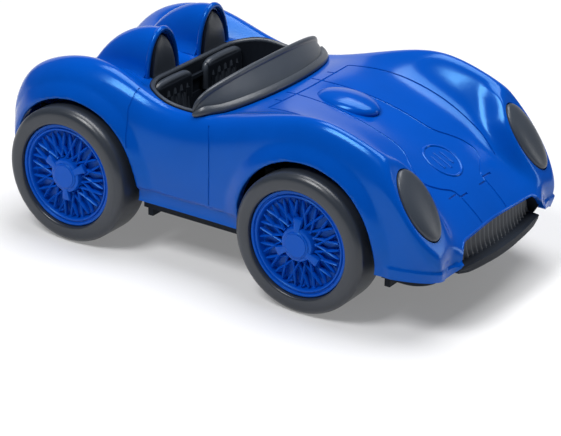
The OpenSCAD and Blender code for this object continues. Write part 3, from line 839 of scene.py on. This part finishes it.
def seat(side):
    """Seat with upright flutes in its back and a rolled top edge that turns down at its ends."""
    edge = [(14.6, 66), (14.7, 74), (13.8, 77.6), (11.4, 79.2), (5, 79.7)]
    across = [(-y, z) for y, z in edge] + [(0, 79.8)] + edge[::-1]
    ridge = flowing([[-53.4, y, z] for y, z in across], 0.8)
    pieces = [tube("ridge", ridge, 2.1, 12, up=(1, 0, 0))]
    back = []
    for y in np.linspace(-SEAT_HALF_W, SEAT_HALF_W, 85):
        flute = 0.7 * max(0.0, math.cos(2 * math.pi * y / FLUTE_PITCH)) ** 0.7 if abs(y) < 12 else 0
        front = -50.6 + flute - 0.9 * (abs(y) / SEAT_HALF_W) ** 4
        back.append([[front + 1.2, y, 44], [front + 0.6, y, 56], [front, y, 68], [front - 0.7, y, 75],
                     [front - 2, y, 78.4], [-56.5, y, 78.6], [-57, y, 44]])
    pieces.append(lofted("back", back))
    cushion = []
    for y in np.linspace(-SEAT_HALF_W, SEAT_HALF_W, 29):
        crown = 1.4 * (1 - (abs(y) / SEAT_HALF_W) ** 4)
        cushion.append([[-50, y, 45 + crown], [-40, y, 45.6 + crown], [-31, y, 46 + crown],
                        [-27, y, 44 + crown], [-25.6, y, 40], [-25.6, y, 37.2], [-50, y, 37.2]])
    pieces.append(lofted("cushion", cushion))
    whole = joined("seat", [weld(p) for p in pieces])
    for vertex in whole.data.vertices:
        vertex.co.y += side * SEAT_Y * MM
    return smooth(whole, 50)


for word, side in SIDES.items():
    make_piece(fairing(side), f"fairing_{word}", CAR, "grey_trim", [f"headrest_{word}"])
    make_piece(seat(side), f"seat_{word}", CAR, "grey_trim")


# ---- Grille and lower lip --------------------------------------------------------------------
GRILLE_PITCH = 3.7
GRILLE_R = 190.0
GRILLE_HALF_W = 40.2
GRILLE_FACE_X = 123.7
GRILLE_FOOT_Z = 29.4
LIP_FRONT_X = 130.6
LIP_HALF_W = 39.2


def bowed(y):
    """How far the grille and lip fall back at y because they are bowed in plan."""
    return math.sqrt(GRILLE_R ** 2 - y ** 2) - GRILLE_R


def grille():
    """Corrugated upright radiator panel, bowed in plan."""
    rings = []
    for y in np.linspace(-GRILLE_HALF_W, GRILLE_HALF_W, 265):
        bow = bowed(y)
        wave = math.cos(2 * math.pi * y / GRILLE_PITCH)
        face = GRILLE_FACE_X + bow + 0.5 + 0.6 * wave * (1 + 0.15 * wave)
        top = mouth_top(y) - 0.15
        ring = []
        for t in np.linspace(0, 1, 9):
            ring.append([face - 0.7 * t + 2.4 * (1 - t) ** 4, y, GRILLE_FOOT_Z + (top - GRILLE_FOOT_Z) * t])
        ring += [[119 + bow, y, top + 1.4], [115 + bow, y, top + 1.4], [117.5 + bow, y, 29.6]]
        rings.append(ring)
    return smooth(weld(lofted("grille", rings)), 60)


def front_lip():
    """Smooth crescent under the radiator, bowed in plan and rising towards its ends."""
    rings = []
    for y in np.linspace(-LIP_HALF_W, LIP_HALF_W, 101):
        a = abs(y) / LIP_HALF_W
        low = 23.9 + 4.4 * a ** 2.2
        high = 30.8 + 1.2 * a ** 3
        end = math.sqrt(max(1 - a ** 16, 0.0))
        middle = (low + high) / 2
        half = (high - low) / 2 * end + 0.05
        deep = 5.0 * end + 0.1
        root = LIP_FRONT_X + bowed(y) * 0.8 - deep
        ring = []
        for q in np.linspace(-math.pi / 2, math.pi / 2, 17):
            ring.append([root + deep * abs(math.cos(q)) ** 0.85, y, middle + half * math.sin(q)])
        ring += [[root - 6 * end, y, middle + half * sign * 0.98] for sign in (1, -1)]
        rings.append(ring)
    return smooth(weld(lofted("lip", rings)), 60)


LINER_SIDE_Z = 36
LINER_FOOT_Z = 29.8
LINER_WALL = (0.15, 1.15)
LINER_BACK_X = 112


def mouth_liner():
    """Thin duct behind the edge of the mouth that closes the space beside the grille.

    Its front edge follows the shell, and slants back below LINER_SIDE_Z.
    """
    upper = [p for p in mouth_outline() if p[1] > LINER_SIDE_Z - 0.2]
    outline = np.array([(-MOUTH_HALF_W, LINER_FOOT_Z), *upper, (MOUTH_HALF_W, LINER_FOOT_Z)])
    outward = np.column_stack([-np.gradient(outline[:, 1]), np.gradient(outline[:, 0])])
    outward /= np.linalg.norm(outward, axis=1)[:, None]
    near, far = LINER_WALL
    rings = []
    for (y, z), (ny, nz) in zip(outline, outward):
        front = hit((300, y, max(z, LINER_SIDE_Z)), (-1, 0, 0))[0][0] - 1.6 - 0.6 * max(LINER_SIDE_Z - z, 0)
        corners = ((front, near), (front, far), (LINER_BACK_X, far), (LINER_BACK_X, near))
        rings.append([[x, y + ny * d, z + nz * d] for x, d in corners])
    return smooth(weld(lofted("liner", rings)), 40)


make_piece(mouth_liner(), "mouth_liner", CAR, "dark_interior")
make_piece(grille(), "radiator_grille", CAR, "grey_trim", ["grille"])
make_piece(front_lip(), "front_lip", CAR, "dark_interior")


# ---- Wheels ----------------------------------------------------------------------------------
# Radius at which a tyre sits on its wheel disc.
RIM_R = 27.4
TYRE_W = 24
SHOULDER_R = 4


def tyre_shoulder(y, start, finish):
    """Rounded edge of a tyre about y, from one angle in degrees to another."""
    return [(TYRE_R - SHOULDER_R + SHOULDER_R * math.cos(a) * 0.985, y + 3.85 * math.sin(a))
            for a in np.radians(np.linspace(start, finish, 12))]


def tyre_profile():
    """Section of a tyre as (radius, y), with y = 0 at its outer face and -TYRE_W at its inner one."""
    outer_bead = [(RIM_R, -2.6), (RIM_R, -0.9), (RIM_R + 0.35, -0.35), (RIM_R + 0.9, -0.12), (29.4, -0.05),
                  (31, 0), (32.2, -0.1)]
    tread = [(TYRE_R - 0.03, -7), (TYRE_R, -TYRE_W / 2), (TYRE_R - 0.03, -17)]
    inner_bead = [(31, -TYRE_W), (28.4, -23.9), (RIM_R, -23)]
    return (outer_bead + tyre_shoulder(-SHOULDER_R, 90, 0) + tread
            + tyre_shoulder(SHOULDER_R - TYRE_W, 0, -90) + inner_bead)


def disc_profile():
    """Section of a wheel disc as (radius, y): beaded rim, spoke bed, hub boss."""
    rim = [(0, -14), (27.2, -14), (27.2, -3), (27.15, -2.55), (26.85, -2.12), (26.3, -2.0),
           (25.75, -2.15), (25.45, -2.6), (25.3, -3.0), (25.0, -3.0), (24.8, -2.65), (24.4, -2.3),
           (23.9, -2.35), (23.5, -2.8), (23.3, -3.8)]
    bed = [(23.1, -5.6), (22.6, -6.3), (16, -5.9), (10.6, -5.3)]
    boss = [(9.5, -4.8), (9.0, -3.9), (8.75, -1.9), (8.35, -1.2), (7.6, -0.95), (0, -0.95)]
    return rim + bed + boss


SPOKE_PAIRS = 18
SPOKE_LEAN = math.radians(13)
SPOKE_FROM_R = 9.2
SPOKE_TO_R = 22.5
SPOKE_SAG = 0.5175


def spoke(angle, lean):
    """One raised wire: a rounded bar from the hub boss to just inside the rim."""
    a0, a1 = angle - lean, angle + lean * 0.45
    p0 = np.array([SPOKE_FROM_R * math.cos(a0), -3.9, SPOKE_FROM_R * math.sin(a0)])
    p1 = np.array([SPOKE_TO_R * math.cos(a1), -3.7, SPOKE_TO_R * math.sin(a1)])
    path = [p0 * (1 - t) + p1 * t - [0, SPOKE_SAG * math.sin(math.pi * t) ** 0.8, 0]
            for t in np.linspace(0, 1, 7)]
    radius = [0.62, 0.66, 0.68, 0.7, 0.72, 0.7, 0.34]
    return tube("spoke", path, radius, 8, flat=2.0, up=(0, 1, 0))


def wheel_disc():
    """Disc with its wires in relief."""
    parts = [revolved("disc", disc_profile(), 160)]
    for k in range(SPOKE_PAIRS):
        for lean in (-SPOKE_LEAN, SPOKE_LEAN):
            parts.append(weld(spoke(2 * math.pi * k / SPOKE_PAIRS, lean)))
    return joined("disc", parts)


# Stations along an ear of the knock-off nut: radius, half width and height of its top.
EAR = [(5, 1.7, -0.5), (8.2, 1.7, -0.7), (10.6, 2.0, -1.0), (12.6, 2.5, -1.25), (13.2, 2.35, -1.45),
       (13.4, 2.0, -1.8)]


def spinner(turn):
    """Knock-off nut: a flat cap on a stepped boss with three flared ears."""
    parts = [revolved("cap", [(0, -3.2), (6.9, -3.2), (6.9, -0.95), (6.7, -0.55), (6.3, -0.35), (5.9, -0.3),
                              (5.75, 0.0), (5.5, 0.0), (0, 0.0)], 96)]
    for k in range(3):
        a = turn + 2 * math.pi * k / 3
        out = np.array([math.cos(a), 0, math.sin(a)])
        across = np.array([-math.sin(a), 0, math.cos(a)])
        rings = []
        for r, w, top in EAR:
            half = [(w, -3.9), (w, top - 0.5), (w * 0.86, top - 0.12), (w * 0.6, top)]
            section = [(-u, h) for u, h in half] + half[::-1]
            rings.append([out * r + across * u + np.array([0, h, 0]) for u, h in section])
        parts.append(weld(lofted("ear", rings)))
    return joined("spinner", parts)


def placed(obj, end, side):
    """Puts a wheel part drawn about the Y axis on its wheel, outer face outwards."""
    for vertex in obj.data.vertices:
        x, y, z = vertex.co / MM
        vertex.co = Vector((x + AXLE_X[end], side * (y + TYRE_FACE_Y), z + TYRE_R)) * MM
    return weld(obj, FINE)


# Turn of the first ear, which points up on the front wheels and down on the rear ones.
EAR_TURN = {"front": math.pi / 2, "rear": -math.pi / 2}
for end, body in (("front", FRONT_SET), ("rear", REAR_SET)):
    for word, side in SIDES.items():
        wheel = f"{end}_{word}"
        tyre = placed(revolved("tyre", tyre_profile(), 192), end, side)
        make_piece(smooth(tyre, 40), f"tyre_moulding_{wheel}", body, "tyre_grey", [f"tyre_{wheel}"])
        disc = placed(wheel_disc(), end, side)
        make_piece(smooth(disc, 40), f"wire_disc_{wheel}", body, "blue_wheel", [f"wheel_{wheel}"])
        nut = placed(spinner(EAR_TURN[end]), end, side)
        make_piece(smooth(nut, 40), f"spinner_{wheel}", body, "blue_wheel", [f"hub_cap_{wheel}"])

bpy.data.objects.remove(plain_skin)


# ---- Stage, light and camera -----------------------------------------------------------------
def area_light(name, place, target, size, power):
    """Rectangular softbox at a place in metres, aimed at the target."""
    light = bpy.data.lights.new(name, "AREA")
    light.shape = "RECTANGLE"
    light.size, light.size_y = size
    light.energy = power
    obj = bpy.data.objects.new(name, light)
    obj.location = place
    obj.rotation_mode = "QUATERNION"
    obj.rotation_quaternion = (Vector(target) - Vector(place)).to_track_quat("-Z", "Y")
    bpy.context.scene.collection.objects.link(obj)


def make_stage():
    """Pale floor with painted light: it glows a little, which keeps the shadows on it light and lights the
    car from below, with a dim sky and softboxes.
    """
    half = 6000
    floor = make_mesh("floor", [[-half, -half, 0], [half, -half, 0], [half, half, 0], [-half, half, 0]],
                      [[0, 1, 2, 3]])
    material = bpy.data.materials.new("pale_floor")
    material.use_nodes = True
    shader = material.node_tree.nodes["Principled BSDF"]
    shader.inputs["Base Color"].default_value = (0.64, 0.64, 0.65, 1)
    # Painted light: the floor glows instead of only being lit, which lifts its shadows and lights the car
    # from below like a bounce.
    shader.inputs["Emission Color"].default_value = (1, 1, 1, 1)
    shader.inputs["Emission Strength"].default_value = 0.21
    shader.inputs["Roughness"].default_value = 0.75
    floor.data.materials.append(material)
    world = bpy.data.worlds.new("studio")
    world.use_nodes = True
    sky = world.node_tree.nodes["Background"]
    sky.inputs["Color"].default_value = (0.9, 0.95, 1.0, 1)
    sky.inputs["Strength"].default_value = 0.10
    bpy.context.scene.world = world
    area_light("top_softbox", (0.05, 0.25, 1.1), (0.02, 0.03, 0), (1.0, 0.65), 13.5)
    area_light("viewer_softbox", (-0.15, -0.62, 1.0), (0, 0, 0.05), (0.36, 0.42), 8.5)
    area_light("back_sweep", (-0.75, 1.3, 0.42), (0, 0, 0.25), (2.4, 0.75), 3.5)
    area_light("front_strip", (1.2, 1.0, 0.35), (0.1, 0, 0.05), (0.3, 0.6), 2)


def look_matrix(azimuth, elevation, roll):
    """Camera axes as columns, right, up and back, for angles in degrees."""
    a, e, r = (math.radians(v) for v in (azimuth, elevation, roll))
    back = np.array([math.sin(a) * math.cos(e), -math.cos(a) * math.cos(e), math.sin(e)])
    right = np.array([math.cos(a), math.sin(a), 0])
    up = np.cross(back, right)
    turned_right = math.cos(r) * right + math.sin(r) * up
    turned_up = -math.sin(r) * right + math.cos(r) * up
    return np.array([turned_right, turned_up, back]).T


def make_camera():
    """Long-lens camera above the car's right front corner."""
    data = bpy.data.cameras.new("camera")
    data.lens = 152.29
    data.sensor_width = 36
    data.clip_end = 50
    camera = bpy.data.objects.new("camera", data)
    bpy.context.scene.collection.objects.link(camera)
    camera.rotation_mode = "QUATERNION"
    camera.rotation_quaternion = Matrix(look_matrix(33.530, 24.450, 0.982).tolist()).to_quaternion()
    camera.location = (0.6122, -0.9243, 0.5131)
    bpy.context.scene.camera = camera


make_stage()
make_camera()
bpy.context.scene.view_settings.view_transform = "Standard"
